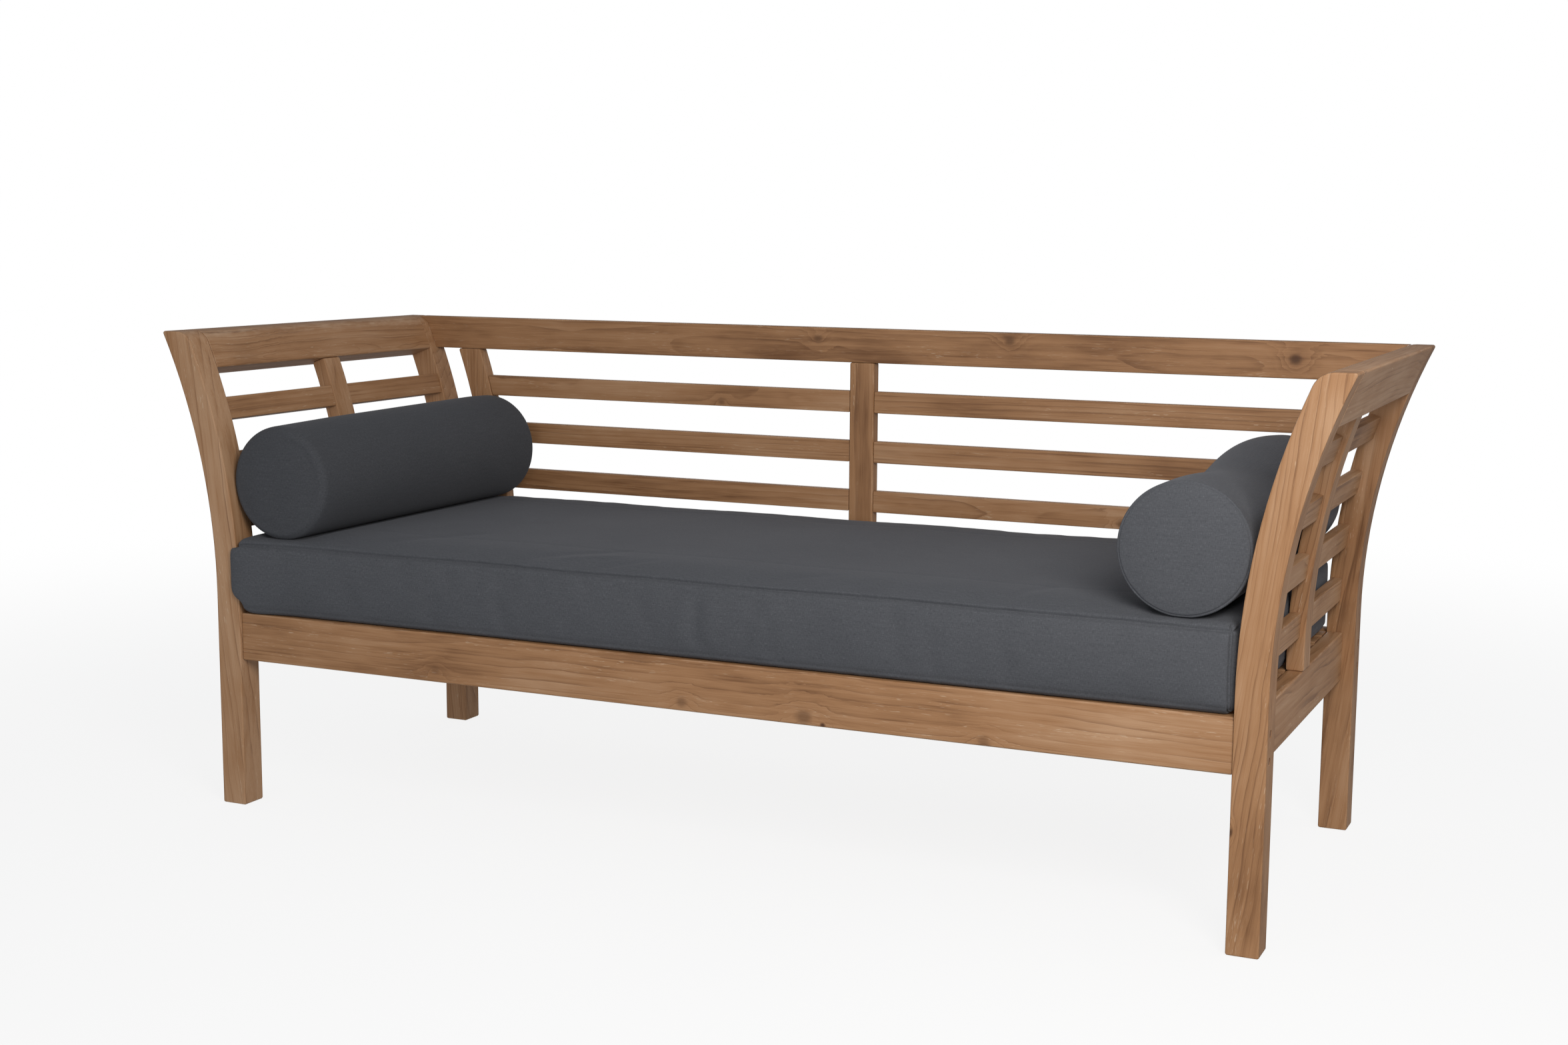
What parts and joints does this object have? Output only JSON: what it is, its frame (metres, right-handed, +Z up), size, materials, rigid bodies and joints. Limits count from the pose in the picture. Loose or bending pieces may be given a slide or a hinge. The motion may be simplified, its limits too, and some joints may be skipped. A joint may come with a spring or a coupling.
{
  "type": "daybed",
  "caption": "Slatted hardwood daybed with outward-curving legs and ends, a slatted back, a boxed seat cushion and two round bolsters.",
  "frame": {"origin": "on the floor, at the centre of the overall length and depth", "axes": "+X along the length to the sitter's left (the viewer's right from the front), +Y to the slatted back, +Z up"},
  "size_m": [2.0956, 0.77, 0.857],
  "materials": {
    "teak": "oiled, satin",
    "cushion_fabric": "matt weave"
  },
  "bodies": {
    "frame": {"bearer_left": "teak", "bearer_right": "teak", "cleat_left": "teak", "cleat_right": "teak", "leg_back_left": "teak", "leg_back_right": "teak", "leg_front_left": "teak", "leg_front_right": "teak", "seat_rail_back": "teak", "seat_rail_front": "teak", "seat_rail_left": "teak", "seat_rail_right": "teak", "seat_slat_01": "teak", "seat_slat_02": "teak", "seat_slat_03": "teak", "seat_slat_04": "teak", "seat_slat_05": "teak", "seat_slat_06": "teak", "seat_slat_07": "teak", "seat_slat_08": "teak", "seat_slat_09": "teak", "seat_slat_10": "teak", "seat_slat_11": "teak", "slat_back_left_1": "teak", "slat_back_left_2": "teak", "slat_back_left_3": "teak", "slat_back_left_4": "teak", "slat_back_right_1": "teak", "slat_back_right_2": "teak", "slat_back_right_3": "teak", "slat_back_right_4": "teak", "slat_left_back_1": "teak", "slat_left_back_2": "teak", "slat_left_back_3": "teak", "slat_left_back_4": "teak", "slat_left_front_1": "teak", "slat_left_front_2": "teak", "slat_left_front_3": "teak", "slat_left_front_4": "teak", "slat_right_back_1": "teak", "slat_right_back_2": "teak", "slat_right_back_3": "teak", "slat_right_back_4": "teak", "slat_right_front_1": "teak", "slat_right_front_2": "teak", "slat_right_front_3": "teak", "slat_right_front_4": "teak", "stile_back_centre": "teak", "stile_back_left": "teak", "stile_back_right": "teak", "stile_left": "teak", "stile_right": "teak", "top_rail_back": "teak", "top_rail_left": "teak", "top_rail_right": "teak"},
    "mattress": {"mattress": "cushion_fabric"},
    "bolster_left": {"bolster_left": "cushion_fabric"},
    "bolster_right": {"bolster_right": "cushion_fabric"}
  },
  "joints": [
    {"name": "mattress_lift", "type": "slide", "parent": "frame", "child": "mattress", "axis": [0, 0, 1], "range_m": [0, 0.52]},
    {"name": "bolster_left_lift", "type": "slide", "parent": "mattress", "child": "bolster_left", "axis": [0, 0, 1], "range_m": [0, 0.38]},
    {"name": "bolster_right_lift", "type": "slide", "parent": "mattress", "child": "bolster_right", "axis": [0, 0, 1], "range_m": [0, 0.38]}
  ]
}
